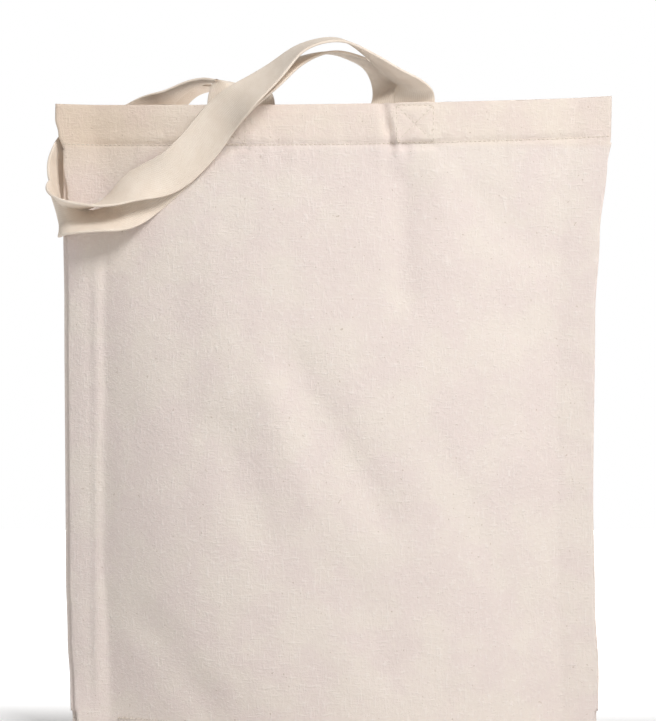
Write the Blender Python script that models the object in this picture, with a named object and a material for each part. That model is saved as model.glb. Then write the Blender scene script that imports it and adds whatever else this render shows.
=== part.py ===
"""Canvas tote bag: two canvas panels, a canvas base, and two webbing handles, held by thread.

Metres, +Z up. The origin is the middle of the base's flat underside and the front panel faces -Y.
The bag stands filled out, and both handles lie flopped over the front and round the left seam.
"""

import math

import bmesh
import bpy
from mathutils import Vector

# Overall size
body_width = 0.364  # side seam to side seam, where the bag is full
mouth_flare = 0.016  # the hem is this much wider than the body
body_height = 0.432  # base to hem, at the side seams
hem_sag = 0.004  # how much lower the hem hangs in its middle
base_depth = 0.085  # front to back across the middle of the base
mouth_depth = 0.040  # front to back across the middle of the mouth
belly_height = 0.150  # the bag keeps its full depth up to here
flare_height = 0.110  # the height over which the body widens to the mouth
flare_end = 0.022  # the widening ends this far under the hem's edge

# Cloth and seams
cloth = 0.0010
hem_height = 0.030
seam_allowance = 0.010
seam_wing = 0.022  # the cloth lies flat this far in from each side seam
overlock = 0.0015  # thickness of the thread over a pair of raw edges
base_end_space = 0.012  # from the flat wing to the pointed end of the base

# Webbing and its stitching
strap_width = 0.028
strap_thickness = 0.0018
strap_tuck = 0.027  # the length of each end that is sewn inside the hem
front_ends = (0.0555, -0.0720)  # middle of the front handle's right and left ends
back_ends = (0.0400, -0.0540)
box_width = 0.023
box_height = 0.023
box_margin = 0.003  # hem's edge to the top of the stitched box
thread_width = 0.0009
thread_height = 0.0004
hem_stitch_margin = 0.0025  # inner edge of the hem to its stitching

gap = 0.0003  # clearance between pieces that touch

# Resolution
panel_columns = 30
panel_rows = 12
fold_steps = 4
strap_step = 0.004  # between the sections of a handle

# Worked out from the sizes above
pitch = cloth + gap  # one layer of cloth to the next
fold = pitch / 2  # radius of a fold, at the middle of the cloth
seam_half = 2 * cloth + 1.5 * gap  # half the thickness of the four layers at a side seam
outer_layer = cloth / 2
turned_layer = outer_layer + pitch
strap_layer = 2 * pitch + strap_thickness / 2
lip = cloth / 2 + fold  # from a folded edge to the centre of its fold
front, back = -1, 1


def smooth(share):
    share = min(1.0, max(0.0, share))
    return share * share * (3 - 2 * share)


def mix(a, b, share):
    return a + (b - a) * share


# The shape of the filled bag

def half_width(z):
    start = body_height - flare_end - flare_height
    return mix(body_width, body_width + mouth_flare, smooth((z - start) / flare_height)) / 2


def half_depth(z):
    return mix(base_depth, mouth_depth, smooth((z - belly_height) / (body_height - belly_height))) / 2


def hem_edge(across):
    return body_height - hem_sag * (1 - across * across)


def panel_edge(z):
    """Where the outer layer ends and turns into the seam."""
    return half_width(z) - lip


def face_depth(x, z):
    """Distance from the bag's middle plane to the outer face of a panel."""
    reach = panel_edge(z) - seam_wing
    inward = min(1.0, max(0.0, (reach - abs(x)) / reach))
    rise = 1 - (1 - inward) ** 2
    pillow = 1.08 * rise * rise / (rise + 0.08)
    return seam_half + (half_depth(z) - seam_half) * pillow


def skin(x, z, inset, side):
    """A point under the outer face of a panel, measured square to the cloth."""
    step = 0.0005
    slope_x = (face_depth(x + step, z) - face_depth(x - step, z)) / (2 * step)
    slope_z = (face_depth(x, z + step) - face_depth(x, z - step)) / (2 * step)
    outward = Vector((-slope_x, 1.0, -slope_z)).normalized()
    point = Vector((x, face_depth(x, z), z)) - outward * inset
    return Vector((point.x, side * point.y, point.z))


# Making objects

def material(name, colour, roughness):
    made = bpy.data.materials.new(name)
    made.use_nodes = True
    shader = made.node_tree.nodes["Principled BSDF"]
    shader.inputs["Base Color"].default_value = (*colour, 1.0)
    shader.inputs["Roughness"].default_value = roughness
    shader.inputs["Metallic"].default_value = 0.0
    return made


def add_object(name, bm, finish, origin):
    bmesh.ops.recalc_face_normals(bm, faces=bm.faces)
    bmesh.ops.translate(bm, verts=bm.verts, vec=-origin)
    mesh = bpy.data.meshes.new(name)
    bm.to_mesh(mesh)
    bm.free()
    mesh.shade_smooth()
    mesh.set_sharp_from_angle(angle=math.radians(40))
    mesh.materials.append(finish)
    made = bpy.data.objects.new(name, mesh)
    made.location = origin
    bpy.context.scene.collection.objects.link(made)
    return made


def thicken(sheet, thickness):
    """Gives a sheet its cloth, half to each side of its middle layer."""
    solid = sheet.modifiers.new("cloth", "SOLIDIFY")
    solid.thickness = thickness
    solid.offset = 0.0
    solid.use_even_offset = True


def grid_faces(bm, rows):
    """Joins rows of points into a sheet. None marks a place with no cloth."""
    verts = [[bm.verts.new(point) if point is not None else None for point in row] for row in rows]
    for lower, upper in zip(verts, verts[1:]):
        for a, b, c, d in zip(lower, lower[1:], upper[1:], upper):
            if None not in (a, b, c, d):
                bm.faces.new((a, b, c, d))


def sweep(bm, sections, closed=False):
    """Joins equal sections, each a loop of points, into one closed body."""
    loops = [[bm.verts.new(point) for point in section] for section in sections]
    pairs = list(zip(loops, loops[1:]))
    if closed:
        pairs.append((loops[-1], loops[0]))
    for first, second in pairs:
        for k in range(len(first)):
            n = (k + 1) % len(first)
            bm.faces.new((first[k], first[n], second[n], second[k]))
    if not closed:
        bm.faces.new(loops[0])
        bm.faces.new(list(reversed(loops[-1])))


def spread(first, last, steps):
    return [mix(first, last, k / steps) for k in range(steps + 1)]


# Panels, each one cloth with its hem and its seam allowances turned in

def panel_profile(across):
    """Up one panel: base allowance, outer face, fold and turned hem, as heights and layers."""
    top = hem_edge(across)
    arc = [math.pi * k / fold_steps for k in range(fold_steps + 1)]
    rows = [(seam_allowance, turned_layer)]
    rows += [(lip - fold * math.sin(a), outer_layer + fold * (1 + math.cos(a))) for a in arc]
    rows += [(z, outer_layer) for z in spread(flap_bottom(), flap_top(across), panel_rows)]
    rows += [(top - lip + fold * math.sin(a), outer_layer + fold * (1 - math.cos(a))) for a in arc]
    rows += [(top - hem_height, turned_layer)]
    return rows


def flap_bottom():
    return seam_allowance + overlock + 3 * gap


def flap_top(across):
    return hem_edge(across) - hem_height - 3 * gap


def flap_rows():
    """The rows of a panel that carry the seam allowances on their ends."""
    start = fold_steps + 2
    return range(start, start + panel_rows + 1)


def side_flap(z, end, side):
    """Round the fold at a side seam and back in along the allowance."""
    edge = panel_edge(z)
    arc = [math.pi * k / fold_steps for k in range(1, fold_steps + 1)]
    route = [(edge + fold * math.sin(a), outer_layer + fold * (1 - math.cos(a))) for a in arc]
    route.append((edge - seam_allowance, turned_layer))
    return [Vector((end * x, side * (seam_half - layer), z)) for x, layer in route]


def panel(name, side, finish):
    columns = spread(-1.0, 1.0, panel_columns)
    profiles = [panel_profile(across) for across in columns]
    rows = []
    for k in range(len(profiles[0])):
        row = []
        for across, profile in zip(columns, profiles):
            z, layer = profile[k]
            row.append(skin(across * panel_edge(z), z, layer, side))
        z = profiles[0][k][0]
        flap = side_flap(z, -1, side), side_flap(z, 1, side)
        if k not in flap_rows():
            flap = [None] * len(flap[0]), [None] * len(flap[1])
        rows.append(list(reversed(flap[0])) + row + list(flap[1]))
    bm = bmesh.new()
    grid_faces(bm, rows)
    thicken(add_object(name, bm, finish, Vector((0, side * base_depth / 2, 0))), cloth)


def base_reach():
    return panel_edge(0) - seam_wing - base_end_space


def wall_depth(x, z, layer):
    """Half the depth inside a panel, this far in from its face and square to it in plan."""
    slope = (face_depth(x + gap, z) - face_depth(x - gap, z)) / (2 * gap)
    return face_depth(x, z) - layer * math.hypot(1, slope)


def gusset(name, finish):
    """The base: a pointed oval of cloth whose edge turns up inside the panels."""
    corner = 1.2 * cloth
    rows = []
    for x in spread(-base_reach(), base_reach(), panel_columns):
        wall = wall_depth(x, corner, outer_layer + 2 * pitch)
        row = [(-wall, seam_allowance)]
        for k in range(fold_steps + 1):
            a = math.pi / 2 * k / fold_steps
            bend = corner * (1 - math.cos(a)), corner * (1 - math.sin(a))
            row.append((-wall + bend[0], outer_layer + bend[1]))
        row += [(0.0, outer_layer)]
        row += [(-y, z) for y, z in reversed(row[:-1])]
        rows.append([Vector((x, y, z)) for y, z in row])
    bm = bmesh.new()
    grid_faces(bm, rows)
    thicken(add_object(name, bm, finish, Vector((0, 0, 0))), cloth)


# Thread

def side_overlock(name, end, finish):
    """The overlocked thread along the raw edges of both allowances at one side seam."""
    half = cloth + gap / 2
    sections = []
    for z in spread(flap_bottom(), flap_top(1.0), panel_rows):
        outside = panel_edge(z) - seam_allowance - gap
        corners = ((outside, -half), (outside, half), (outside - overlock, half), (outside - overlock, -half))
        sections.append([Vector((end * x, y, z)) for x, y in corners])
    bm = bmesh.new()
    sweep(bm, sections)
    add_object(name, bm, finish, Vector((end * panel_edge(0), 0, 0)))


def base_overlock(name, side, finish):
    """The overlocked thread on the raw edges of a panel and the base."""
    low, high = seam_allowance + gap, seam_allowance + gap + overlock
    near, far = pitch, 2 * pitch + cloth
    sections = []
    for x in spread(-base_reach(), base_reach(), panel_columns):
        corners = ((near, low), (far, low), (far, high), (near, high))
        sections.append([Vector((x, side * wall_depth(x, 0, inset), z)) for inset, z in corners])
    bm = bmesh.new()
    sweep(bm, sections)
    add_object(name, bm, finish, Vector((0, side * base_depth / 2, 0)))


def hem_stitch(name, finish):
    """One row of stitching all round the mouth, over both panels."""
    ring = []
    radius = seam_half + gap
    for side in (front, back):
        for across in spread(side, -side, panel_columns):
            z = hem_edge(across) - hem_height + hem_stitch_margin
            x = across * panel_edge(z)
            near, far = (skin(x, z, -gap - depth, side) for depth in (0, thread_height))
            ring.append((near, far))
        z = hem_edge(1.0) - hem_height + hem_stitch_margin
        for k in range(1, fold_steps):
            a = math.pi * k / fold_steps
            turn = Vector((-side * math.sin(a), side * math.cos(a), 0))
            centre = Vector((-side * panel_edge(z), 0, z))
            ring.append((centre + turn * radius, centre + turn * (radius + thread_height)))
    half = Vector((0, 0, thread_width / 2))
    bm = bmesh.new()
    sweep(bm, [(near - half, far - half, far + half, near + half) for near, far in ring], closed=True)
    add_object(name, bm, finish, Vector((0, 0, body_height - hem_height)))


def box_figure(bm):
    """A stitched box with its two diagonals, flat about its own middle."""
    half = Vector((box_width / 2, box_height / 2))
    corners = [Vector((half.x * a, half.y * b)) for a, b in ((-1, -1), (1, -1), (1, 1), (-1, 1))]
    slant = half.length / min(half)  # how much wider the diagonals cut along the sides
    outer, starts, ends, tips = [bm.verts.new((*corner, 0)) for corner in corners], [], [], []
    for k, corner in enumerate(corners):
        following = corners[(k + 1) % 4]
        along = (following - corner).normalized()
        inward = Vector((-along.y, along.x))
        reach = thread_width * (0.5 + 0.5 * slant)
        starts.append(bm.verts.new((*(corner + inward * thread_width + along * (thread_width + reach)), 0)))
        ends.append(bm.verts.new((*(following + inward * thread_width - along * (thread_width + reach)), 0)))
        tips.append(bm.verts.new((*(-inward * thread_width * slant / 2), 0)))
    for k in range(4):
        before, after = (k + 3) % 4, (k + 1) % 4
        bm.faces.new((outer[k], outer[after], ends[k], starts[k]))
        bm.faces.new((outer[k], starts[k], tips[k], tips[before], ends[before]))
    bm.faces.new(tips)


def box_stitch(name, x, side, finish):
    """The stitched figure that holds one end of a handle, on the outer face of its panel."""
    bm = bmesh.new()
    box_figure(bm)
    raised = bmesh.ops.extrude_face_region(bm, geom=bm.faces[:])["geom"]
    tops = {item for item in raised if isinstance(item, bmesh.types.BMVert)}
    middle = hem_edge(x / panel_edge(body_height)) - box_margin - box_height / 2
    for vert in bm.verts:
        height = thread_height if vert in tops else 0.0
        vert.co = skin(x + vert.co.x, middle + vert.co.y, -gap - height, side)
    add_object(name, bm, finish, skin(x, middle, 0.0, side))


# Handles. Each point of a route is a place and the direction across the webbing.

def in_hem(x, rise, side, turn=1):
    """Flat on the inside of the hem, at a height over its edge."""
    z = hem_edge(x / panel_edge(body_height)) + rise
    along_hem = skin(x + strap_width / 2, z, strap_layer, side) - skin(x - strap_width / 2, z, strap_layer, side)
    return skin(x, z, strap_layer, side), along_hem.normalized() * turn


def over_mouth(x, share, rise, lean=0):
    """Free above the mouth: -1 is over the front lip, 1 over the back one. The lean adds half widths of webbing."""
    return Vector((x, share * mouth_depth / 2 + lean * strap_width / 2, body_height + rise))


def beside(from_seam, drop, off, side, lift=0):
    """Beside a panel, in from the left seam and under the hem's edge; see round_seam for the lift."""
    z = body_height - drop + lift * strap_width / 2
    x = from_seam - half_width(z)
    return Vector((x, side * (face_depth(x, z) + off), z))


def round_seam(out, y, drop, lift=0):
    """Outside the left seam. With a lift of 1 or -1 the drop is to the webbing's lower or upper edge."""
    z = body_height - drop + lift * strap_width / 2
    return Vector((-half_width(z) - out, y, z))


front_route = [
    in_hem(front_ends[0], -strap_tuck, front),
    in_hem(front_ends[0], -0.010, front),
    in_hem(front_ends[0], 0.001, front),
    in_hem(front_ends[0], 0.006, front),
    (over_mouth(0.0545, -0.76, 0.0130), (0.66, -0.75, 0)),
    (over_mouth(0.0460, -0.84, 0.0210), (0.42, -0.90, 0.10)),
    (over_mouth(0.0290, -1.02, 0.0320), (0.15, -0.98, 0.05)),
    (over_mouth(0.0050, -1.35, 0.0415), (0, -0.98, -0.15)),
    (over_mouth(-0.0200, -1.62, 0.0360), (0.12, -0.96, -0.24)),
    (over_mouth(-0.0400, -1.80, 0.0200), (0.30, -0.85, -0.42)),
    (over_mouth(-0.0580, -1.90, 0.0045), (0.45, -0.66, -0.60)),
    (beside(0.1150, 0.0125, 0.0120, front), (0.60, -0.30, -0.73)),
    (beside(0.1000, 0.0310, 0.0085, front), (0.64, -0.05, -0.77)),
    (beside(0.0780, 0.0500, 0.0088, front), (0.60, -0.05, -0.80)),
    (beside(0.0540, 0.0730, 0.0128, front, 1), (0.40, -0.62, -0.68)),
    (beside(0.0370, 0.0820, 0.0170, front, 1), (0.15, -0.93, -0.32)),
    (beside(0.0200, 0.0865, 0.0175, front, 1), (0.02, -0.99, 0.05)),
    (beside(0.0030, 0.0840, 0.0175, front, 1), (-0.05, -0.97, 0.10)),
    (round_seam(0.0065, -0.0140, 0.0740, 1), (-0.05, -0.92, 0.38)),
    (round_seam(0.0070, 0, 0.0620, 1), (0.02, -0.66, 0.75)),
    (round_seam(0.0030, 0.0115, 0.0530, 1), (0.05, -0.30, 0.95)),
    (beside(0.0130, 0.0300, 0.0062, back), (-0.50, -0.05, 0.86)),
    (beside(0.0330, 0.0140, 0.0050, back), (-0.75, 0, 0.66)),
    (beside(0.0600, 0.0005, 0.0060, back), (-0.80, -0.10, 0.58)),
    (over_mouth(-0.1130, 1.45, 0.0120, -1), (-0.60, -0.62, 0.45)),
    (over_mouth(-0.0950, 1.05, 0.0165, -1), (-0.30, -0.90, 0.25)),
    (over_mouth(-0.0790, 0.65, 0.0160, -1), (-0.45, -0.88, 0.05)),
    (over_mouth(-0.0710, -0.48, 0.0100), (-0.90, -0.40, 0)),
    in_hem(front_ends[1], 0.006, front, -1),
    in_hem(front_ends[1], 0.001, front, -1),
    in_hem(front_ends[1], -0.010, front, -1),
    in_hem(front_ends[1], -strap_tuck, front, -1),
]

back_route = [
    in_hem(back_ends[0], -strap_tuck, back),
    in_hem(back_ends[0], -0.012, back),
    in_hem(back_ends[0], 0.001, back),
    in_hem(back_ends[0], 0.006, back),
    (over_mouth(0.0345, 0.50, 0.0140), (0.50, -0.86, 0)),
    (over_mouth(0.0275, 0.18, 0.0240), (0.20, -0.97, 0.05)),
    (over_mouth(0.0130, -0.28, 0.0310), (0.05, -0.99, 0)),
    (over_mouth(-0.0060, -0.72, 0.0320), (0.02, -0.98, -0.10)),
    (over_mouth(-0.0250, -1.05, 0.0250), (0.14, -0.95, -0.26)),
    (over_mouth(-0.0420, -1.36, 0.0130), (0.32, -0.82, -0.46)),
    (over_mouth(-0.0600, -1.50, 0.0010), (0.50, -0.58, -0.64)),
    (beside(0.1130, 0.0140, 0.0065, front), (0.62, -0.25, -0.74)),
    (beside(0.0980, 0.0325, 0.0042, front), (0.64, 0, -0.77)),
    (beside(0.0760, 0.0530, 0.0040, front), (0.60, -0.03, -0.80)),
    (beside(0.0570, 0.0540, 0.0050, front, -1), (0.42, -0.12, -0.90)),
    (beside(0.0440, 0.0635, 0.0100, front, -1), (0.30, -0.50, -0.80)),
    (beside(0.0270, 0.0710, 0.0145, front, -1), (0.10, -0.82, -0.55)),
    (beside(0.0080, 0.0760, 0.0125, front, -1), (-0.05, -0.60, -0.80)),
    (round_seam(0.0050, -0.0025, 0.0720, -1), (-0.20, -0.35, -0.90)),
    (round_seam(0.0040, 0.0100, 0.0630, -1), (0.10, 0, -0.98)),
    (beside(0.0150, 0.0500, 0.0135, back, -1), (0.50, 0, -0.86)),
    (beside(0.0340, 0.0230, 0.0125, back, -1), (0.75, 0, -0.66)),
    (beside(0.0530, 0.0120, 0.0125, back), (0.85, 0.05, -0.50)),
    (over_mouth(-0.1180, 0.90, 0.0050, 1), (0.62, 0.65, -0.42)),
    (over_mouth(-0.0980, 1.05, 0.0110, 1), (0.30, 0.92, -0.20)),
    (over_mouth(-0.0760, 0.85, 0.0130, 1), (0.30, 0.95, 0)),
    (over_mouth(-0.0590, 0.98, 0.0115), (0.88, 0.45, 0)),
    in_hem(back_ends[1], 0.006, back),
    in_hem(back_ends[1], 0.001, back),
    in_hem(back_ends[1], -0.012, back),
    in_hem(back_ends[1], -strap_tuck, back),
]


def slopes(values, spans):
    """How fast a list of vectors changes at each of them, with uneven spans between them."""
    rates = [(b - a) / span for a, b, span in zip(values, values[1:], spans)]
    inner = [
        (before * next_span + after * span) / (span + next_span)
        for before, after, span, next_span in zip(rates, rates[1:], spans, spans[1:])
    ]
    return [rates[0], *inner, rates[-1]]


def hermite(a, b, slope_a, slope_b, span, share):
    square, cube = share * share, share**3
    return (
        a * (2 * cube - 3 * square + 1) + slope_a * span * (cube - 2 * square + share)
        + b * (3 * square - 2 * cube) + slope_b * span * (cube - square)
    )


def smooth_route(route):
    """Places and widths along a smooth curve through a route's points, evenly spaced between them."""
    places, widths = [place for place, _ in route], [Vector(width) for _, width in route]
    spans = [(b - a).length for a, b in zip(places, places[1:])]
    place_slopes, width_slopes = slopes(places, spans), slopes(widths, spans)
    curve = []
    for k, span in enumerate(spans):
        steps = max(1, round(span / strap_step))
        for share in (n / steps for n in range(steps)):
            curve.append((
                hermite(places[k], places[k + 1], place_slopes[k], place_slopes[k + 1], span, share),
                hermite(widths[k], widths[k + 1], width_slopes[k], width_slopes[k + 1], span, share),
            ))
    return [*curve, (places[-1], widths[-1])]


def handle(name, route, finish):
    stations = smooth_route(route)
    places = [place for place, _ in stations]
    sections = []
    for k, (place, width) in enumerate(stations):
        along = (places[min(k + 1, len(places) - 1)] - places[max(k - 1, 0)]).normalized()
        width = (width - along * width.dot(along)).normalized() * strap_width / 2
        face = along.cross(width).normalized() * strap_thickness / 2
        sections.append([place - width - face, place + width - face, place + width + face, place - width + face])
    bm = bmesh.new()
    sweep(bm, sections)
    add_object(name, bm, finish, places[0])


for old in list(bpy.data.objects):
    bpy.data.objects.remove(old)

canvas = (0.83, 0.74, 0.69)
webbing = (0.76, 0.66, 0.54)
thread = (0.80, 0.72, 0.62)

panel("front_panel", front, material("front canvas", canvas, 0.95))
panel("back_panel", back, material("back canvas", canvas, 0.95))
gusset("bottom_gusset", material("base canvas", canvas, 0.95))
handle("front_handle", front_route, material("front webbing", webbing, 0.90))
handle("back_handle", back_route, material("back webbing", webbing, 0.90))
hem_stitch("hem_stitch", material("hem thread", thread, 0.80))
for end, place in ((-1, "left"), (1, "right")):
    side_overlock(place + "_seam_overlock", end, material(place + " seam thread", thread, 0.80))
for side, place, ends in ((front, "front", front_ends), (back, "back", back_ends)):
    base_overlock(place + "_base_overlock", side, material(place + " base thread", thread, 0.80))
    for x, end in zip(ends, ("right", "left")):
        box_finish = material(f"{place} {end} box thread", thread, 0.80)
        box_stitch(f"{place}_{end}_box_stitch", x, side, box_finish)
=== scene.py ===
import math
import random

import bmesh
import bpy
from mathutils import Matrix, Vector, noise


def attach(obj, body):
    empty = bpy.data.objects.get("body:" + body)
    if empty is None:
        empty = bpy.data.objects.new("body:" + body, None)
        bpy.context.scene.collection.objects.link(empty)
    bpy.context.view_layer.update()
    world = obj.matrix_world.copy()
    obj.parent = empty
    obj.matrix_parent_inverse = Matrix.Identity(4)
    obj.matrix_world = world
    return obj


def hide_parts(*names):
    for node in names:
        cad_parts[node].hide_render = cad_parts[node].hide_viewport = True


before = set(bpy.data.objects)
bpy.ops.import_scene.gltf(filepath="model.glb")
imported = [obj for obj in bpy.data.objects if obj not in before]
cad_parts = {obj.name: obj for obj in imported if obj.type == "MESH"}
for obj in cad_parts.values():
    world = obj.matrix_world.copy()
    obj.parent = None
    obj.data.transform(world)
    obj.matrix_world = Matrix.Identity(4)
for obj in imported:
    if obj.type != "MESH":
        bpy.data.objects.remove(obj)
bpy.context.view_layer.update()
random.seed(7)

front, back = -1, 1

# the bag's own sizes, in metres, as in the frame
bag = {
    "bodyWidth": 0.364,
    "mouthWidth": 0.380,
    "height": 0.432,
    "plainSag": 0.0040,  # how far the hem of the plain shape dips in the middle
    "hemSag": 0.0043,
    "hemTilt": 0.0027,  # the right end of the hem stands this much higher than its middle
    "hemRise": 0.0012,
    "baseDepth": 0.085,
    "mouthDepth": 0.040,
    "bellyHeight": 0.150,
    "flareHeight": 0.110,
    "flareEnd": 0.022,  # the flare is done this far under the hem's edge
    "cloth": 0.0010,
    "hem": 0.030,
    "allowance": 0.010,
    "wing": 0.022,  # the flat strip beside each side seam
    "baseEndSpace": 0.012,
    "gap": 0.0003,  # between two layers of cloth
}
pitch = bag["cloth"] + bag["gap"]
fold = pitch / 2
lip = bag["cloth"] / 2 + fold
seamHalf = 2 * bag["cloth"] + 1.5 * bag["gap"]
outerLayer = bag["cloth"] / 2
turnedLayer = outerLayer + pitch


def smooth(share):
    share = min(1.0, max(0.0, share))
    return share * share * (3 - 2 * share)


def mix(a, b, share):
    return a + (b - a) * share


def spread(first, last, steps):
    return [mix(first, last, k / steps) for k in range(steps + 1)]


def bell(distance, width):
    return math.exp(-(distance / width) ** 2)


def along(points, place):
    # a smooth value from a short list of (place, value)
    if place <= points[0][0]:
        return points[0][1]
    for (a, low), (b, high) in zip(points, points[1:]):
        if place <= b:
            return mix(low, high, smooth((place - a) / (b - a)))
    return points[-1][1]


# the plain shape of the bag, as in the frame

def halfWidth(z):
    start = bag["height"] - bag["flareEnd"] - bag["flareHeight"]
    return mix(bag["bodyWidth"], bag["mouthWidth"], smooth((z - start) / bag["flareHeight"])) / 2


def halfDepth(z):
    narrowing = (z - bag["bellyHeight"]) / (bag["height"] - bag["bellyHeight"])
    return mix(bag["baseDepth"], bag["mouthDepth"], smooth(narrowing)) / 2


def pillow(inward, power=2.0, ease=0.08):
    rise = 1 - (1 - min(1.0, max(0.0, inward))) ** power
    return (1 + ease) * rise * rise / (rise + ease)


def plainDepth(x, z):
    reach = halfWidth(z) - lip - bag["wing"]
    return seamHalf + (halfDepth(z) - seamHalf) * pillow((reach - abs(x)) / reach)


# how this bag differs from the plain shape: first its outline, as the reach to each side at each height
outline = {
    "left": [
        (0.0, 0.1790), (0.030, 0.1805), (0.065, 0.1826), (0.110, 0.1838), (0.290, 0.1848),
        (0.396, 0.1845), (0.410, 0.1888), (0.420, 0.1910), (0.432, 0.1908),
    ],
    "right": [
        (0.0, 0.1812), (0.040, 0.1820), (0.090, 0.1795), (0.160, 0.1782), (0.285, 0.1795),
        (0.340, 0.1826), (0.388, 0.1876), (0.410, 0.1912), (0.432, 0.1916),
    ],
}

# each soft fold: from, to, how wide, and how far out, or in below zero
frontFolds = [
    ((-0.163, 0.352), (-0.163, 0.020), 0.010, -0.0024),
    ((-0.026, 0.252), (0.036, 0.150), 0.015, -0.0034),
    ((-0.044, 0.232), (-0.014, 0.160), 0.012, 0.0016),
    ((-0.072, 0.206), (-0.044, 0.138), 0.017, -0.0026),
    ((0.046, 0.376), (0.049, 0.298), 0.010, -0.0022),
    ((0.072, 0.380), (0.078, 0.320), 0.012, 0.0012),
    ((0.100, 0.365), (0.142, 0.325), 0.014, -0.0018),
    ((0.066, 0.202), (0.094, 0.158), 0.014, -0.0020),
    ((0.100, 0.134), (0.128, 0.076), 0.014, -0.0020),
    ((-0.126, 0.078), (-0.084, 0.022), 0.014, -0.0024),
    ((-0.105, 0.300), (-0.094, 0.190), 0.020, -0.0016),
    ((0.010, 0.110), (0.036, 0.050), 0.016, -0.0014),
    ((0.120, 0.255), (0.128, 0.180), 0.014, 0.0012),
]
backFolds = [
    ((0.030, 0.270), (-0.030, 0.160), 0.016, -0.0032),
    ((0.086, 0.210), (0.050, 0.130), 0.016, -0.0026),
    ((-0.054, 0.376), (-0.050, 0.300), 0.011, -0.0020),
    ((0.040, 0.376), (0.046, 0.310), 0.011, -0.0018),
    ((-0.120, 0.320), (-0.080, 0.240), 0.016, -0.0022),
    ((-0.110, 0.140), (-0.070, 0.060), 0.016, -0.0024),
    ((0.110, 0.100), (0.130, 0.040), 0.014, -0.0020),
]


def foldRelief(x, z, folds):
    out = 0.0
    for (x0, z0), (x1, z1), width, rise in folds:
        runX, runZ = x1 - x0, z1 - z0
        share = ((x - x0) * runX + (z - z0) * runZ) / (runX * runX + runZ * runZ)
        held = min(1.0, max(0.0, share))
        distance = math.hypot(x - x0 - runX * held, z - z0 - runZ * held)
        if distance < 3 * width:
            out += rise * bell(distance, width)
    return out


# gentle waves in a panel: how fast along x and up z, a shift between the sides, and how far out
faceWaves = [(15, 11, 5.0, 0.0013), (36, 26, 8.0, 0.000585), (90, 80, 11.0, 0.00022)]
wingWaves = [(30, 60, 2.0, 0.0005)]


def waveRelief(x, z, side, waves):
    return sum(
        out * noise.noise(Vector((x * alongX, z * upZ, side * shift)))
        for alongX, upZ, shift, out in waves
    )


# where the handles are sewn in, and how the hem puckers round them
handleEnds = {front: (0.0555, -0.0720), back: (0.0400, -0.0540)}
hemLook = {
    "stitchMargin": 0.0025,  # inner edge of the hem to its stitching
    "grooveDepth": 0.0007,
    "grooveWidth": 0.0016,
    "puff": 0.0006,
    "pucker": 0.00075,
    "puckerBelow": 0.004,  # the puckers are strongest this far under the stitching
    "puckerLength": 0.017,
    "patchWidth": 0.028,
    "patchRise": 0.0013,
    "patchTuck": 0.0275,
    "hollow": 0.0012,  # under each patch
    "pull": 0.0011,
    "pullReach": 0.011,
}

# the stitched box and cross that holds each handle end
boxLook = {
    "width": 0.0250,
    "height": 0.0250,
    "margin": 0.0020,  # from the hem's edge
    "quilt": 0.0008,
    "quiltWidth": 0.0013,
    "quiltReach": 0.0040,
}


def quilting(offset, under):
    # how far the stitched box and its diagonals pull the cloth in
    wide, tall = boxLook["width"] / 2, boxLook["height"]
    low = under - boxLook["margin"]
    near = boxLook["quiltReach"]
    if abs(offset) > wide + near or not -near < low < tall + near:
        return 0.0
    sides = min(abs(abs(offset) - wide), abs(low), abs(low - tall))
    slant = math.hypot(2 * wide, tall)
    middle = low - tall / 2
    diagonals = min(abs(offset * tall - middle * 2 * wide), abs(offset * tall + middle * 2 * wide)) / slant
    return -boxLook["quilt"] * bell(min(sides, diagonals), boxLook["quiltWidth"])


def hemEdge(across):
    return bag["height"] + bag["hemRise"] + bag["hemTilt"] * across - bag["hemSag"] * (1 - across * across)


def puckering(x, z, side):
    broad = noise.noise(Vector((x * 95, side * 4.0, z * 16)))
    fine = noise.noise(Vector((x * 210, side * 9.0, z * 30)))
    return hemLook["pucker"] * (broad + 0.5 * fine)


def patchRelief(x, z, end, under, side):
    # the raised plate over a sewn handle end, the hollow under it and the pulls round it
    inside = hemLook["patchWidth"] / 2 - abs(x - end)
    low = hemLook["patchTuck"] - under
    plate = smooth((inside + 0.0015) / 0.003) * smooth((low + 0.0012) / 0.0024)
    hollow = hemLook["hollow"] * bell(low + 0.0026, 0.0022) * smooth((inside + 0.006) / 0.009)
    away = math.hypot(max(0.0, -inside), max(0.0, -low))
    pull = hemLook["pull"] * bell(away, hemLook["pullReach"]) * (1 - plate)
    uneven = noise.noise(Vector((x * 160, z * 120, side * 3 + end * 50)))
    return hemLook["patchRise"] * plate + quilting(x - end, under) - hollow + pull * uneven


def hemRelief(x, z, across, side):
    under = hemEdge(across) - z
    stitchAt = bag["hem"] - hemLook["stitchMargin"]
    out = -hemLook["grooveDepth"] * bell(under - stitchAt, hemLook["grooveWidth"])
    if under < stitchAt:
        out += hemLook["puff"] * smooth(under / 0.008) * smooth((stitchAt - under) / 0.006)
    reach = bell(under - stitchAt - hemLook["puckerBelow"], hemLook["puckerLength"])
    if reach > 0.01:
        out += puckering(x, z, side) * reach
    out += sum(patchRelief(x, z, end, under, side) for end in handleEnds[side])
    if side == front:
        out += creaseRelief(x, under)
    return out


# the pinch of hem cloth beside the right end of the front handle: a valley with a ridge to its right
crease = {
    "top": 0.0335,
    "foot": 0.0400,
    "length": 0.031,
    "depth": 0.0026,
    "width": 0.0022,
    "ridge": 0.0016,
    "ridgeWidth": 0.0020,
    "ridgeAway": 0.0042,
}


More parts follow.
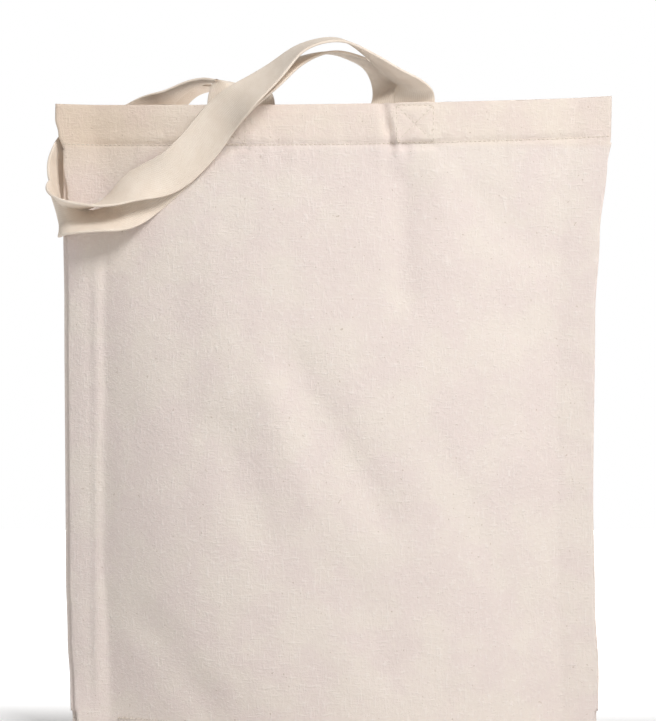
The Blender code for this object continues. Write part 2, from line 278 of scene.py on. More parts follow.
def creaseRelief(x, under):
    share = under / crease["length"]
    if share > 1.25 or share < -0.1:
        return 0.0
    held = min(1.0, share)
    offset = x - mix(crease["top"], crease["foot"], held)
    valley = crease["depth"] * bell(offset, crease["width"] * mix(1.5, 0.8, held))
    ridge = crease["ridge"] * bell(offset - crease["ridgeAway"], crease["ridgeWidth"])
    return smooth((1.25 - share) / 0.3) * (ridge - valley)


# the sewn edges under the hem: the back panel shows past the front one, and the left edge leans back
seamLook = {
    "leftInset": 0.0030,
    "rightInset": 0.0012,
    "leftLean": 0.42,
    "leanFrom": 0.160,
    "leanTop": 0.345,
}


def edgeAt(z, end, side):
    reach = along(outline["right"] if end > 0 else outline["left"], z) - lip
    inset = seamLook["rightInset"] if end > 0 else seamLook["leftInset"]
    return reach - inset * smooth((0.388 - z) / 0.02) * (side == front)


def lean(x, z):
    past = max(0.0, -x - seamLook["leanFrom"])
    upHere = smooth((seamLook["leanTop"] - z) / 0.05) * smooth((z + 0.01) / 0.06)
    return seamLook["leftLean"] * past * smooth(past / 0.006) * upHere


def placeX(across, z, side):
    return mix(-edgeAt(z, -1, side), edgeAt(z, 1, side), (across + 1) / 2)


def faceDepth(across, z, side):
    half = (along(outline["left"], z) + along(outline["right"], z)) / 2 - lip
    reach = 1 - bag["wing"] / half
    inward = (reach - abs(across)) / reach
    # the left of the front panel rounds over sooner than the rest
    power = 2 + smooth(-across / 0.1) * smooth(z / 0.06) * (side == front)
    depth = seamHalf + (halfDepth(z) - seamHalf) * pillow(inward, power, 0.08 * (power - 1))
    x = placeX(across, z, side)
    loose = smooth((bag["height"] - z) / 0.05)
    folds = frontFolds if side == front else backFolds
    relief = (foldRelief(x, z, folds) + waveRelief(x, z, side, faceWaves)) * loose
    relief += hemRelief(x, z, across, side)
    inner = smooth((1 - abs(across)) / 0.16)
    return depth + relief * inner + waveRelief(x, z, side, wingWaves) * (1 - inner)


def skin(across, z, layer, side):
    # a point under the outer face, measured square to the cloth
    less, more, step = across - 0.003, across + 0.003, 0.0012
    wide = placeX(more, z, side) - placeX(less, z, side)
    slopeX = (faceDepth(more, z, side) - faceDepth(less, z, side)) / wide
    slopeZ = (faceDepth(across, z + step, side) - faceDepth(across, z - step, side)) / (2 * step)
    outward = Vector((-slopeX, 1.0, -slopeZ)).normalized()
    point = Vector((placeX(across, z, side), faceDepth(across, z, side), z)) - outward * layer
    return Vector((point.x, side * max(point.y, 0.0007) + lean(point.x, z), point.z))


# making meshes

def meshPiece(name, verts, faces, finish=None):
    mesh = bpy.data.meshes.new(name)
    mesh.from_pydata([tuple(v) for v in verts], [], faces)
    mesh.validate()
    tidy = bmesh.new()
    tidy.from_mesh(mesh)
    bmesh.ops.recalc_face_normals(tidy, faces=tidy.faces)
    tidy.to_mesh(mesh)
    tidy.free()
    mesh.shade_smooth()
    piece = bpy.data.objects.new(name, mesh)
    bpy.context.scene.collection.objects.link(piece)
    if finish:
        mesh.materials.append(finish)
    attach(piece, "root")
    return piece


def sheetPiece(name, rows, finish, thickness):
    # rows of points, with None where there is no cloth
    index, verts = {}, []
    for j, row in enumerate(rows):
        for i, point in enumerate(row):
            if point is not None:
                index[j, i] = len(verts)
                verts.append(point)
    faces = []
    for j in range(len(rows) - 1):
        for i in range(len(rows[0]) - 1):
            corners = (j, i), (j, i + 1), (j + 1, i + 1), (j + 1, i)
            if all(corner in index for corner in corners):
                faces.append([index[corner] for corner in corners])
    piece = meshPiece(name, verts, faces, finish)
    cloth = piece.modifiers.new("cloth", "SOLIDIFY")
    cloth.thickness, cloth.offset = thickness, 0.0
    return piece


def applied(piece):
    # the mesh with its modifiers made real
    graph = bpy.context.evaluated_depsgraph_get()
    made = bpy.data.meshes.new_from_object(piece.evaluated_get(graph))
    piece.modifiers.clear()
    old = piece.data
    piece.data = made
    bpy.data.meshes.remove(old)
    return piece


# panels: allowance, bottom fold, face, hem fold and turned hem are one cloth

panelGrid = {
    "columns": 190,
    "bodyStep": 0.0028,
    "hemStep": 0.0011,
    "turnedSteps": 12,
    "foldSteps": 6,
    "sideSteps": 5,
}


def panelProfile(across):
    top = hemEdge(across)
    arc = [math.pi * k / panelGrid["foldSteps"] for k in range(panelGrid["foldSteps"] + 1)]
    rows = [(z, turnedLayer) for z in (bag["allowance"], 0.007, 0.004)]
    rows += [(lip - fold * math.sin(a), outerLayer + fold * (1 + math.cos(a))) for a in arc]
    # finer rows from just under the stitching to the fold of the hem
    low, high, foldAt = 0.0040, top - bag["hem"] - 0.0040, top - lip
    bodySteps = round((bag["height"] - bag["hem"] - 0.008) / panelGrid["bodyStep"])
    hemSteps = round((bag["hem"] + 0.004) / panelGrid["hemStep"])
    rows += [(z, outerLayer) for z in spread(low, high, bodySteps)]
    rows += [(z, outerLayer) for z in spread(high, foldAt - 0.0006, hemSteps)[1:]]
    rows += [(foldAt + fold * math.sin(a), outerLayer + fold * (1 - math.cos(a))) for a in arc]
    rows += [(z, turnedLayer) for z in spread(foldAt - 0.0015, top - bag["hem"], panelGrid["turnedSteps"])]
    return rows


def sideFlap(z, end, side, foldRow):
    # round the fold of a side seam and in along its allowance
    edge = edgeAt(z, end, side)
    steps = panelGrid["sideSteps"]
    arc = [math.pi * k / steps for k in range(1, steps + 1)]
    route = [(edge + fold * math.sin(a), outerLayer + fold * (1 - math.cos(a))) for a in arc]
    route += [(edge - bag["allowance"] * share, turnedLayer) for share in (0.5, 1.0)]
    places = [Vector((end * x, side * (seamHalf - layer) + lean(end * x, z), z)) for x, layer in route]
    return places if foldRow else [None] * len(places)


def panelPiece(name, side, finish):
    columns = spread(-1.0, 1.0, panelGrid["columns"])
    profiles = [panelProfile(across) for across in columns]
    rows = []
    for k in range(len(profiles[0])):
        row = [skin(across, *profile[k], side) for across, profile in zip(columns, profiles)]
        z, layer = profiles[0][k]
        sewn = layer == outerLayer and bag["allowance"] + 0.003 < z < hemEdge(-1) - bag["hem"] - 0.001
        left, right = sideFlap(z, -1, side, sewn), sideFlap(profiles[-1][k][0], 1, side, sewn)
        rows.append(list(reversed(left)) + row + right)
    piece = applied(sheetPiece(name, rows, finish, bag["cloth"]))
    print(f"{name}: {len(piece.data.polygons)} faces")
    return piece


# the base: a pointed oval whose edge turns up inside the panels

baseLook = {
    "corner": 1.2 * bag["cloth"],
    "columns": 110,
    "wallSteps": 4,
    "cornerSteps": 6,
    "floorSteps": 14,
    "wave": 0.0004,
}


def baseReach():
    return bag["bodyWidth"] / 2 - lip - bag["wing"] - bag["baseEndSpace"]


def basePiece(name, finish):
    layer, corner = outerLayer + 2 * pitch, baseLook["corner"]
    rows = []
    for x in spread(-baseReach(), baseReach(), baseLook["columns"]):
        wall = plainDepth(x, corner) - layer
        inner = corner - wall
        # half across: down the turned edge, round the corner and in over the floor
        turned = spread(bag["allowance"], corner + outerLayer + 0.001, baseLook["wallSteps"])
        half = [(-wall, z) for z in turned]
        for a in spread(0, math.pi / 2, baseLook["cornerSteps"]):
            half.append((inner - corner * math.cos(a), outerLayer + corner * (1 - math.sin(a))))
        for y in spread(inner, 0, baseLook["floorSteps"])[1:]:
            wave = baseLook["wave"] * (1 + noise.noise(Vector((x * 40, y * 40, 3))))
            half.append((y, outerLayer + wave * smooth((y - inner) / 0.02)))
        otherHalf = [(-y, z) for y, z in reversed(half[:-1])]
        rows.append([Vector((x, y, z)) for y, z in half + otherHalf])
    return applied(sheetPiece(name, rows, finish, bag["cloth"]))


# handles: the same routes as in the frame, each point a place and the direction across the webbing

webbing = {
    "width": 0.028,
    "thickness": 0.0018,
    "edgeRound": 0.0007,
    "tuck": 0.027,  # how far each end goes into its hem
    "step": 0.0014,
    "easing": 14,
    "slack": 0.0004,
}


def plainEdge(across):
    return bag["height"] - bag["plainSag"] * (1 - across * across)


def hemHeight(x, rise):
    return plainEdge(x / (halfWidth(bag["height"]) - lip)) + rise


def plainSkin(x, z, layer, side):
    step = 0.0005
    slopeX = (plainDepth(x + step, z) - plainDepth(x - step, z)) / (2 * step)
    slopeZ = (plainDepth(x, z + step) - plainDepth(x, z - step)) / (2 * step)
    point = Vector((x, plainDepth(x, z), z)) - Vector((-slopeX, 1.0, -slopeZ)).normalized() * layer
    return Vector((point.x, side * point.y, point.z))


def inHem(x, rise, side, turn=1):
    z, half = hemHeight(x, rise), webbing["width"] / 2
    layer = 2 * pitch + webbing["thickness"] / 2
    alongHem = plainSkin(x + half, z, layer, side) - plainSkin(x - half, z, layer, side)
    return plainSkin(x, z, layer, side), alongHem.normalized() * turn


def overMouth(x, share, rise):
    return Vector((x, share * bag["mouthDepth"] / 2, bag["height"] + rise))


def beside(fromSeam, drop, off, side):
    z = bag["height"] - drop
    x = fromSeam - halfWidth(z)
    return Vector((x, side * (plainDepth(x, z) + off), z))


def roundSeam(out, y, drop):
    z = bag["height"] - drop
    return Vector((-halfWidth(z) - out, y, z))


frontRoute = [
    inHem(handleEnds[front][0], -webbing["tuck"], front),
    inHem(handleEnds[front][0], -0.010, front),
    inHem(handleEnds[front][0], 0.001, front),
    inHem(handleEnds[front][0], 0.006, front),
    (overMouth(0.0535, -1.00, 0.0100), (0.70, -0.71, 0)),
    (overMouth(0.0420, -1.22, 0.0162), (0.40, -0.91, 0.05)),
    (overMouth(0.0270, -1.36, 0.0275), (0.12, -0.98, 0.03)),
    (overMouth(0.0050, -1.50, 0.0390), (0, -0.98, -0.15)),
    (overMouth(-0.0200, -1.66, 0.0342), (0.12, -0.96, -0.24)),
    (overMouth(-0.0400, -1.80, 0.0168), (0.30, -0.85, -0.42)),
    (overMouth(-0.0580, -1.90, 0.0022), (0.45, -0.66, -0.60)),
    (beside(0.1150, 0.0125, 0.0120, front), (0.60, -0.30, -0.73)),
    (beside(0.1000, 0.0310, 0.0085, front), (0.64, -0.05, -0.77)),
    (beside(0.0780, 0.0500, 0.0088, front), (0.60, -0.05, -0.80)),
    (beside(0.0540, 0.0590, 0.0128, front), (0.40, -0.62, -0.68)),
    (beside(0.0370, 0.0680, 0.0170, front), (0.15, -0.93, -0.32)),
    (beside(0.0200, 0.0725, 0.0175, front), (0.02, -0.99, 0.05)),
    (beside(0.0020, 0.0700, 0.0140, front), (-0.03, -0.98, 0.10)),
    (roundSeam(0.0015, 0.0010, 0.0620), (-0.16, -0.97, 0.10)),
    (roundSeam(0.0008, 0.0045, 0.0500), (-0.36, -0.92, 0.06)),
    (roundSeam(-0.0020, 0.0095, 0.0390), (-0.36, -0.85, 0.34)),
    (beside(0.0130, 0.0310, 0.0070, back), (-0.45, -0.05, 0.88)),
    (beside(0.0330, 0.0215, 0.0055, back), (-0.75, 0, 0.66)),
    (beside(0.0560, 0.0120, 0.0060, back), (-0.80, -0.20, 0.55)),
    (overMouth(-0.1130, 0.75, 0.0050), (-0.34, -0.93, 0.12)),
    (overMouth(-0.0950, 0.35, 0.0135), (-0.12, -0.99, 0.02)),
    (overMouth(-0.0775, -0.12, 0.0140), (-0.42, -0.90, 0)),
    (overMouth(-0.0685, -0.48, 0.0098), (-0.66, -0.75, 0)),
    inHem(handleEnds[front][1], 0.006, front, -1),
    inHem(handleEnds[front][1], 0.001, front, -1),
    inHem(handleEnds[front][1], -0.010, front, -1),
    inHem(handleEnds[front][1], -webbing["tuck"], front, -1),
]

backRoute = [
    inHem(handleEnds[back][0], -webbing["tuck"], back),
    inHem(handleEnds[back][0], -0.012, back),
    inHem(handleEnds[back][0], 0.001, back),
    inHem(handleEnds[back][0], 0.006, back),
    (overMouth(0.0350, 0.78, 0.0130), (0.52, -0.85, 0)),
    (overMouth(0.0280, 0.50, 0.0230), (0.22, -0.97, 0.05)),
    (overMouth(0.0130, -0.12, 0.0305), (0.05, -0.99, 0)),
    (overMouth(-0.0060, -0.72, 0.0320), (0.02, -0.98, -0.10)),
    (overMouth(-0.0250, -1.05, 0.0250), (0.14, -0.95, -0.26)),
    (overMouth(-0.0420, -1.36, 0.0130), (0.32, -0.82, -0.46)),
    (overMouth(-0.0600, -1.50, 0.0010), (0.50, -0.58, -0.64)),
    (beside(0.1130, 0.0140, 0.0065, front), (0.62, -0.25, -0.74)),
    (beside(0.0980, 0.0325, 0.0042, front), (0.64, 0, -0.77)),
    (beside(0.0760, 0.0530, 0.0040, front), (0.60, -0.03, -0.80)),
    (beside(0.0570, 0.0680, 0.0050, front), (0.42, -0.12, -0.90)),
    (beside(0.0440, 0.0775, 0.0100, front), (0.30, -0.50, -0.80)),
    (beside(0.0270, 0.0820, 0.0145, front), (0.10, -0.82, -0.55)),
    (beside(0.0110, 0.0825, 0.0130, front), (0.05, -0.76, -0.64)),
    (beside(0.0010, 0.0805, 0.0085, front), (0.22, -0.45, -0.86)),
    (roundSeam(0.0025, 0, 0.0780), (0.30, 0, -0.95)),
    (roundSeam(0.0010, 0.0120, 0.0740), (0.05, -0.05, -0.99)),
    (beside(0.0150, 0.0610, 0.0135, back), (0.50, 0, -0.86)),
    (beside(0.0340, 0.0390, 0.0125, back), (0.75, 0, -0.66)),
    (beside(0.0520, 0.0230, 0.0125, back), (0.85, 0.05, -0.50)),
    (overMouth(-0.1180, 1.60, -0.0040), (0.62, 0.65, -0.42)),
    (overMouth(-0.0980, 1.75, 0.0110), (0.30, 0.94, -0.12)),
    (overMouth(-0.0760, 1.55, 0.0130), (0.30, 0.95, 0)),
    (overMouth(-0.0590, 0.98, 0.0115), (0.88, 0.45, 0)),
    inHem(handleEnds[back][1], 0.006, back),
    inHem(handleEnds[back][1], 0.001, back),
    inHem(handleEnds[back][1], -0.012, back),
    inHem(handleEnds[back][1], -webbing["tuck"], back),
]


# a smooth curve through a route's points

def slopes(values, spans):
    rates = [(b - a) / span for a, b, span in zip(values, values[1:], spans)]
    inner = [(r0 * s1 + r1 * s0) / (s0 + s1) for r0, r1, s0, s1 in zip(rates, rates[1:], spans, spans[1:])]
    return [rates[0], *inner, rates[-1]]


def hermite(a, b, slopeA, slopeB, span, share):
    square, cube = share * share, share**3
    return (a * (2 * cube - 3 * square + 1) + slopeA * span * (cube - 2 * square + share)
            + b * (3 * square - 2 * cube) + slopeB * span * (cube - square))


def smoothRoute(route):
    places = [place for place, _ in route]
    widths = [Vector(width) for _, width in route]
    spans = [(b - a).length for a, b in zip(places, places[1:])]
    placeSlopes, widthSlopes = slopes(places, spans), slopes(widths, spans)
    curve = []
    for k, span in enumerate(spans):
        steps = max(1, round(span / webbing["step"]))
        for n in range(steps):
            curve.append([
                hermite(values[k], values[k + 1], rates[k], rates[k + 1], span, n / steps)
                for values, rates in ((places, placeSlopes), (widths, widthSlopes))
            ])
    return [*curve, [places[-1], widths[-1]]]


def webbingSection():
    # once round the webbing, across and through it, with rounded edges
    halfWide, halfThick = webbing["width"] / 2, webbing["thickness"] / 2
    radius = webbing["edgeRound"]
    upper = [(x, halfThick) for x in spread(halfWide - radius, radius - halfWide, 12)]
    turn = [math.pi * k / 6 for k in range(1, 6)]
    leftEdge = [(radius - halfWide - radius * math.sin(a), halfThick * math.cos(a)) for a in turn]
    lower = [(-x, -y) for x, y in upper]
    rightEdge = [(-x, -y) for x, y in leftEdge]
    return upper + leftEdge + lower + rightEdge


def eased(verts, count):
    # lets out the tight side of a turn, so that the webbing never doubles back on itself
    middle = [
        here * 0.5 + (before + after) * 0.25
        for before, here, after in zip(verts, verts[count:], verts[2 * count:])
    ]
    return verts[:count] + middle + verts[-count:]


def handlePiece(name, route, finish, seed):
    stations = smoothRoute(route)
    places = [place for place, _ in stations]
    section = webbingSection()
    count = len(section)
    verts, lengths, length = [], [], 0.0
    for k, (place, width) in enumerate(stations):
        before, after = places[max(k - 2, 0)], places[min(k + 2, len(places) - 1)]
        run = (after - before).normalized()
        width = (width - run * width.dot(run)).normalized()
        face = run.cross(width).normalized()
        if k:
            length += (place - places[k - 1]).length
        lengths.append(length)
        slack = webbing["slack"] * smooth((length - 0.03) / 0.03)
        for x, y in section:
            wave = slack * noise.noise(Vector((x * 60, length * 45, seed)))
            verts.append(place + width * x + face * (y + wave))
    for _ in range(webbing["easing"]):
        verts = eased(verts, count)
    faces = [list(range(count))]
    for k in range(len(stations) - 1):
        a, b = k * count, (k + 1) * count
        faces += [[a + i, a + (i + 1) % count, b + (i + 1) % count, b + i] for i in range(count)]
    faces.append([len(verts) - 1 - i for i in range(count)])
    piece = meshPiece(name, verts, faces, finish)
    weave = piece.data.uv_layers.new(name="webbing")
    for polygon in piece.data.polygons:
        for loop, vertex in zip(polygon.loop_indices, polygon.vertices):
            x = section[vertex % count][0]
            weave.data[loop].uv = (x + webbing["width"] / 2, lengths[vertex // count])
    print(f"{name}: {length:.3f} m of webbing, {len(faces)} faces")
    return piece, length


# thread: every stitch is its own short length of thread

stitching = {
    "length": 0.0025,
    "space": 0.0009,
    "radius": 0.00027,
    "sunk": 0.00016,
    "stray": 0.00008,
    "around": 7,
    "rings": [(0.0, 0.35), (0.12, 0.8), (0.35, 1.0), (0.65, 1.0), (0.88, 0.8), (1.0, 0.35)],
}


def acrossAt(x, z, side):
    left, right = edgeAt(z, -1, side), edgeAt(z, 1, side)
    return 2 * (x + left) / (left + right) - 1


def addStitch(verts, faces, start, end, outward, radius):
    # a short thread that swells to its middle, as rings from one end to the other
    around, rings = stitching["around"], stitching["rings"]
    across = (end - start).normalized().cross(outward).normalized()
    first = len(verts)
    for share, wide in rings:
        middle = start.lerp(end, share) + outward * radius * (wide - 0.7)
        for k in range(around):
            a = 2 * math.pi * k / around
            verts.append(middle + (across * math.cos(a) + outward * math.sin(a)) * radius * wide)
    for j in range(len(rings) - 1):
        a = first + around * j
        b = a + around
        faces += [[a + k, a + (k + 1) % around, b + (k + 1) % around, b + k] for k in range(around)]
    faces.append([first + k for k in range(around)])
    faces.append([len(verts) - 1 - k for k in range(around)])


def sewLine(verts, faces, corners, side):
    # stitches over a panel's face from corner to corner, each corner a place (x, z)
    radius, stray = stitching["radius"], stitching["stray"]
    period = stitching["length"] + stitching["space"]
    for (x0, z0), (x1, z1) in zip(corners, corners[1:]):
        run = math.hypot(x1 - x0, z1 - z0)
        count = max(1, round(run / period))
        for k in range(count):
            ends = []
            for share in ((k + 0.13) / count, (k + 0.87) / count):
                x = mix(x0, x1, share)
                z = mix(z0, z1, share) + random.uniform(-stray, stray)
                ends.append(skin(acrossAt(x, z, side), z, stitching["sunk"] - radius, side))
            line = (ends[1] - ends[0]).normalized()
            outward = ends[1] - skin(acrossAt(x, z, side), z, 0.002, side)
            outward = (outward - line * outward.dot(line)).normalized()
            addStitch(verts, faces, ends[0], ends[1], outward, radius)


def hemStitchPiece(finish):
    verts, faces = [], []
    for side in (front, back):
        corners = []
        for across in spread(-0.9965, 0.9965, 24):
            z = hemEdge(across) - bag["hem"] + hemLook["stitchMargin"]
            corners.append((placeX(across, z, side), z))
        sewLine(verts, faces, corners, side)
    piece = meshPiece("hemStitching", verts, faces, finish)
    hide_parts("hem_stitch")
    print(f"hem stitching: {len(verts) // (stitching['around'] * len(stitching['rings']))} stitches")
    return piece


def boxStitchPiece(name, x, side, finish, node):
    top = hemEdge(acrossAt(x, bag["height"] - 0.01, side)) - boxLook["margin"]
    low = top - boxLook["height"]
    left, right = x - boxLook["width"] / 2, x + boxLook["width"] / 2
    route = [(left, low), (left, top), (right, top), (right, low), (left, low), (right, top)]
    verts, faces = [], []
    sewLine(verts, faces, route, side)
    sewLine(verts, faces, [(left, top), (right, low)], side)
    piece = meshPiece(name, verts, faces, finish)
    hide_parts(node)
    return piece


overlockLook = {"reach": 0.0011, "lift": 0.0011, "radius": 0.0003, "sideTurns": 190, "baseTurns": 150}


def overlockPiece(name, finish, node, places):
    # a zigzag of thread over raw edges: places gives the middle, the way across and the way out
    reach, lift, radius = overlockLook["reach"], overlockLook["lift"], overlockLook["radius"]
    verts, faces = [], []
    for (a, across, out), (b, nextAcross, nextOut) in zip(places, places[1:]):
        low = a - across * reach + out * lift
        high = a.lerp(b, 0.5) + across * reach + out * lift
        end = b - nextAcross * reach + nextOut * lift
        addStitch(verts, faces, low, high, out, radius)
        addStitch(verts, faces, high, end, out, radius)
    piece = meshPiece(name, verts, faces, finish)
    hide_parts(node)
    return piece


def sideOverlock(name, end, finish, node):
    places = []
    for z in spread(0.0135, bag["height"] - bag["hem"] - 0.012, overlockLook["sideTurns"]):
        x = end * (edgeAt(z, end, front) - bag["allowance"])
        places.append((Vector((x, lean(x, z), z)), Vector((0, 1, 0)), Vector((-end, 0, 0))))
    return overlockPiece(name, finish, node, places)


def baseOverlock(name, side, finish, node):
    places = []
    for x in spread(-baseReach(), baseReach(), overlockLook["baseTurns"]):
        wall = plainDepth(x, bag["allowance"]) - turnedLayer - pitch / 2
        places.append((Vector((x, side * wall, bag["allowance"])), Vector((0, side, 0)), Vector((0, 0, 1))))
    return overlockPiece(name, finish, node, places)


# materials

class Flow:
    # a node's output that takes part in plain arithmetic
    def __init__(self, tree, socket=None):
        self.tree, self.socket = tree, socket

    def make(self, kind, settings=None, inputs=None, output=0):
        node = self.tree.nodes.new("ShaderNode" + kind)
        for key, value in (settings or {}).items():
            setattr(node, key, value)
        setInputs(node, inputs or {})
        return Flow(self.tree, node.outputs[output])

    def math(self, operation, a, b=0.0):
        return self.make("Math", {"operation": operation}, {0: a, 1: b})

    def __add__(self, other):
        return self.math("ADD", self, other)

    def __radd__(self, other):
        return self.math("ADD", other, self)

    def __sub__(self, other):
        return self.math("SUBTRACT", self, other)

    def __rsub__(self, other):
        return self.math("SUBTRACT", other, self)

    def __mul__(self, other):
        return self.math("MULTIPLY", self, other)

    def __rmul__(self, other):
        return self.math("MULTIPLY", other, self)

    def __neg__(self):
        return self.math("MULTIPLY", self, -1.0)

    def __abs__(self):
        return self.math("ABSOLUTE", self)

    def sine(self):
        return self.math("SINE", self)

    def between(self, low, high):
        settings = {"interpolation_type": "SMOOTHSTEP"}
        return self.make("MapRange", settings, {"Value": self, "From Min": low, "From Max": high})

    def noise(self, scale, detail=2.0, roughness=0.5):
        inputs = {"Vector": self, "Scale": scale, "Detail": detail, "Roughness": roughness}
        return self.make("TexNoise", None, inputs)

    def stretched(self, scale, shift=(0, 0, 0)):
        return self.make("Mapping", None, {"Vector": self, "Scale": scale, "Location": shift})

    def part(self, axis):
        return self.make("SeparateXYZ", None, {"Vector": self}, axis)

    def blend(self, a, b, kind="MIX"):
        # this flow is the share of b over a, both colours
        colours = {6: a if isinstance(a, Flow) else (*a, 1), 7: b if isinstance(b, Flow) else (*b, 1)}
        settings = {"data_type": "RGBA", "blend_type": kind}
        return self.make("Mix", settings, {0: self, **colours}, 2)


def setInputs(node, inputs):
    # each socket takes a value, or a link from a flow
    for key, value in inputs.items():
        if isinstance(value, Flow):
            value.tree.links.new(value.socket, node.inputs[key])
        else:
            node.inputs[key].default_value = value


def linear(red, green, blue):
    return tuple(c / 12.92 if c <= 0.04045 else ((c + 0.055) / 1.055) ** 2.4 for c in (red, green, blue))


def newMaterial(name, where="Object"):
    material = bpy.data.materials.new(name)
    material.use_nodes = True
    tree = material.node_tree
    return material, tree.nodes["Principled BSDF"], Flow(tree).make("TexCoord", output=where)


# dull cotton, the same for cloth, webbing and thread
cottonShine = {"Specular IOR Level": 0.18, "Sheen Weight": 0.05, "Sheen Roughness": 0.6}


def finishWith(shader, colour, height, look):
    bump = height.make("Bump", None, {"Height": height, "Distance": look["depth"], "Strength": 1.0})
    setInputs(shader, {"Base Color": colour, "Normal": bump, "Roughness": look["roughness"], **cottonShine})


canvasLook = {
    "thread": 0.00062,
    "weftSpace": 0.94,  # weft threads lie a little farther apart than the warp's
    "slub": (45.0, 260.0),  # along and across the thread
    "depth": 0.00022,
    "roughness": 0.92,
    "pink": linear(0.915, 0.858, 0.830),
    "cream": linear(0.925, 0.878, 0.838),
    "worn": linear(0.975, 0.945, 0.920),
    "fleck": linear(0.62, 0.52, 0.40),
    "wornShare": 0.45,
    "fleckShare": 0.35,
    "hem": (1.0, 0.985, 0.945),
    # painted shade for the top left corner of the panels
    "hemLeftShade": (0.93, 0.87, 0.80),
    "hemShare": 0.8,
}


def hemTintAndShade(places, tint, look):
    # the doubled hem looks warmer, and its left end is darkened and warmed with painted shade, where the
    # bag turns from the key light
    foot = bag["height"] - bag["hem"]
    band = places.part(2).between(foot - 0.003, foot + 0.002)
    tint = (band * look["hemShare"]).blend(tint, look["hem"], "MULTIPLY")
    # painted shade: the top left corner, the hem and a little below it, is multiplied darker
    leftShadeShare = (-places.part(0)).between(0.05, 0.17) * places.part(2).between(0.36, 0.41)
    return leftShadeShare.blend(tint, look["hemLeftShade"], "MULTIPLY")


def canvasMaterial(name, across, down, look, hemmed=False):
    # a plain weave of uneven threads, with slubs along both and a few seed flecks
    material, shader, places = newMaterial(name)
    wander = places.noise(140.0, 2.0) - 0.5
    u = (places.part(across) + wander * 0.00035) * (math.pi / look["thread"])
    v = (places.part(down) + wander * 0.00030) * (math.pi / look["thread"] * look["weftSpace"])
    over = (u.sine() * v.sine()).between(-0.25, 0.25)
    warp = abs((u + math.pi / 2).sine())
    weft = abs((v + math.pi / 2).sine())
    threads = warp * over + weft * (1.0 - over)
    alongSlub, acrossSlub = look["slub"]
    slubs = []
    for axis, shift in ((across, (0, 0, 0)), (down, (3, 1, 5))):
        scale = [alongSlub if axis == k else acrossSlub for k in range(3)]
        slubs.append(places.stretched(scale, shift).noise(3.0, 2.0).between(0.50, 0.75))
    cloudy = places.noise(420.0, 3.0, 0.6)
    mottle = places.noise(26.0, 4.0, 0.6)
    grain = places.noise(900.0, 2.0, 0.6)
    crumple = places.noise(75.0, 3.0, 0.6)
    height = threads * 0.5 + slubs[0] * 0.7 + slubs[1] * 0.6 + cloudy * 1.6 + grain * 0.8 + crumple * 2.2
    tint = mottle.between(0.38, 0.62).blend(look["pink"], look["cream"])
    worn = (cloudy * 0.6 + slubs[0] * 0.2 + slubs[1] * 0.2).between(0.25, 0.75)
    tint = (worn * look["wornShare"]).blend(tint, look["worn"])
    seeds = places.stretched((1.0, 1.0, 1.0), (0.3, 0.7, 0.1)).noise(560.0, 0.0).between(0.81, 0.87)
    tint = (seeds * look["fleckShare"]).blend(tint, look["fleck"])
    # the hem's warmer cream, with painted shade at its left end
    if hemmed:
        tint = hemTintAndShade(places, tint, look)
    finishWith(shader, tint, height, look)
    return material


webbingLook = {
    "rib": 0.00135,
    "pick": 0.00085,
    "depth": 0.00020,
    "roughness": 0.9,
    "colour": linear(0.915, 0.856, 0.792),
    "light": linear(0.943, 0.892, 0.834),
    # painted shade for the gaps between the ribs
    "ribGapShadeTone": linear(0.845, 0.770, 0.683),
    "ribGapShadeShare": 0.35,
}


def webbingMaterial(name, look):
    # lengthwise ribs crossed by fine picks, with painted shade in the gaps between the ribs
    material, shader, places = newMaterial(name, "UV")
    wander = places.noise(220.0, 2.0) - 0.5
    u = (places.part(0) + wander * 0.0003) * (math.pi / look["rib"])
    v = (places.part(1) + wander * 0.0004) * (math.pi / look["pick"])
    ribs, picks = abs(u.sine()), abs((v + u).sine())
    height = ribs * 0.6 + picks * 0.35 + places.noise(900.0, 2.0) * 0.5
    shade = places.noise(60.0, 4.0, 0.65).between(0.3, 0.7)
    tint = shade.blend(look["colour"], look["light"])
    # painted shade: the gaps between the ribs are tinted darker
    ribGapShading = (1.0 - ribs.between(0.0, 0.5)) * look["ribGapShadeShare"]
    tint = ribGapShading.blend(tint, look["ribGapShadeTone"])
    finishWith(shader, tint, height, look)
    return material


threadLook = {
    "colour": linear(0.925, 0.885, 0.835),
    "shade": linear(0.80, 0.74, 0.67),
    "twist": 1500.0,
    "depth": 0.0001,
    "roughness": 0.85,
}


def threadMaterial(name, look):
    material, shader, places = newMaterial(name)
    twist = places.noise(look["twist"], 2.0)
    tint = twist.between(0.35, 0.65).blend(look["shade"], look["colour"])
    finishWith(shader, tint, twist, look)
    return material


canvas = canvasMaterial("panelCanvas", 0, 2, canvasLook, hemmed=True)
baseCanvas = canvasMaterial("baseCanvas", 0, 1, canvasLook)
webbingCloth = webbingMaterial("handleWebbing", webbingLook)
thread = threadMaterial("stitchThread", threadLook)
print("materials made")


# putting the bag together

frontPanel = panelPiece("frontPanel", front, canvas)
backPanel = panelPiece("backPanel", back, canvas)
for piece, node in ((frontPanel, "front_panel"), (backPanel, "back_panel")):
    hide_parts(node)

base = basePiece("baseGusset", baseCanvas)
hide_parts("bottom_gusset")

# the last number of each shifts its waves
frontHandle, frontLength = handlePiece("frontHandle", frontRoute, webbingCloth, 2.0)
backHandle, backLength = handlePiece("backHandle", backRoute, webbingCloth, 9.0)
for piece, node in ((frontHandle, "front_handle"), (backHandle, "back_handle")):
    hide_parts(node)

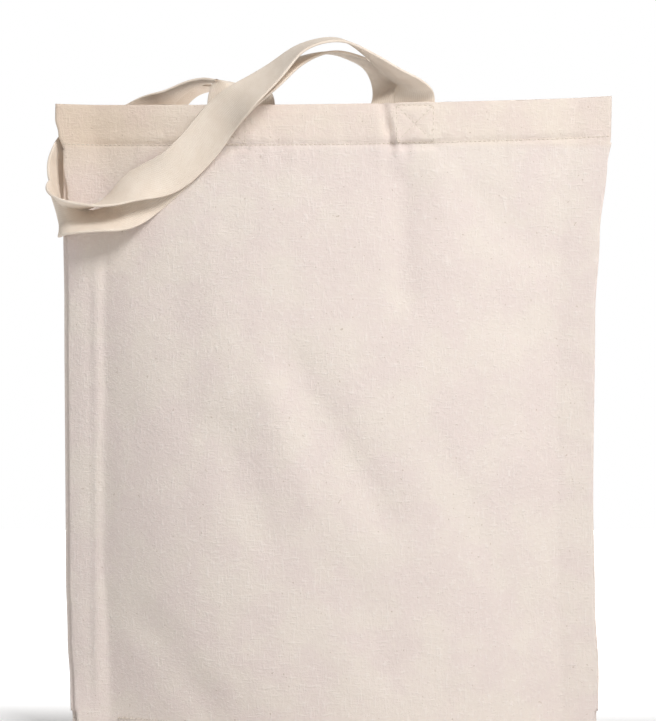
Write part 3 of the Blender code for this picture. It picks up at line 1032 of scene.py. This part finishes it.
hemStitching = hemStitchPiece(thread)
for side, word in ((front, "front"), (back, "back")):
    for x, end in zip(handleEnds[side], ("right", "left")):
        name, node = f"{word}{end.title()}BoxStitching", f"{word}_{end}_box_stitch"
        boxStitchPiece(name, x, side, thread, node)
overlocks = [
    sideOverlock("leftSeamOverlock", -1, thread, "left_seam_overlock"),
    sideOverlock("rightSeamOverlock", 1, thread, "right_seam_overlock"),
    baseOverlock("frontBaseOverlock", front, thread, "front_base_overlock"),
    baseOverlock("backBaseOverlock", back, thread, "back_base_overlock"),
]
print("bag put together")

# the base's cloth as cut: its depth has both turnings and what goes round the folds
baseFlat = (2 * baseReach(), bag["baseDepth"] + 0.015)
0.66 * baseFlat[0] * baseFlat[1]


# floor, backdrop, lights and camera

room = {
    "width": 6.0,
    "depth": 2.4,
    "height": 3.0,
    "glow": 1.0,
    "glowFrom": 0.0,  # the floor starts to brighten here
    "glowFull": 0.28,
    "floorTone": 0.8,
    "worldLight": 0.34,
}


def stagePlane(name, corners, finish):
    mesh = bpy.data.meshes.new(name)
    mesh.from_pydata(corners, [], [[0, 1, 2, 3]])
    mesh.materials.append(finish)
    plane = bpy.data.objects.new(name, mesh)
    bpy.context.scene.collection.objects.link(plane)
    return plane


def paleMaterial(name, tone, growing=False):
    # an even glow, or one that starts under the bag and grows the farther it goes back
    material, shader, places = newMaterial(name)
    glow = (1, 1, 1, 1)
    if growing:
        glow = places.part(1).between(room["glowFrom"], room["glowFull"]).blend((0, 0, 0), (1, 1, 1))
    setInputs(shader, {
        "Base Color": (tone, tone, tone, 1),
        "Roughness": 1.0,
        "Specular IOR Level": 0.0,
        "Emission Color": glow,
        "Emission Strength": room["glow"],
    })
    return material


half, far, high = room["width"] / 2, room["depth"], room["height"]
floorCorners = [(-half, -half, 0), (half, -half, 0), (half, far, 0), (-half, far, 0)]
backdropCorners = [(-half, far, 0), (half, far, 0), (half, far, high), (-half, far, high)]
stagePlane("floor", floorCorners, paleMaterial("paleFloor", room["floorTone"], growing=True))
stagePlane("backdrop", backdropCorners, paleMaterial("paleGlow", 0.0))

studio = {
    "key": {"place": (1.0, -1.75, 1.85), "size": 0.8, "power": 48.0},
    "fill": {"place": (-1.6, -2.0, 0.6), "size": 1.6, "power": 3.0},
}
view = {"place": (-0.0034, -2.0, 0.255), "lens": 146.0, "film": 36.0}


def placed(name, data, place):
    holder = bpy.data.objects.new(name, data)
    holder.location = place
    bpy.context.scene.collection.objects.link(holder)
    return holder


def areaLight(name, place, size, power, target=(0, 0, 0.25)):
    lamp = bpy.data.lights.new(name, "AREA")
    lamp.size, lamp.energy = size, power
    aim = Vector(target) - Vector(place)
    placed(name, lamp, place).rotation_euler = aim.to_track_quat("-Z", "Y").to_euler()


for name, settings in studio.items():
    areaLight(name, **settings)

world = bpy.data.worlds.new("softRoom")
world.use_nodes = True
setInputs(world.node_tree.nodes["Background"], {"Color": (1, 1, 1, 1), "Strength": room["worldLight"]})
bpy.context.scene.world = world

lens = bpy.data.cameras.new("camera")
lens.lens, lens.sensor_width = view["lens"], view["film"]
camera = placed("camera", lens, view["place"])
camera.rotation_euler = (math.pi / 2, 0, 0)
bpy.context.scene.camera = camera
bpy.context.scene.view_settings.view_transform = "Standard"
print("lights and camera set")
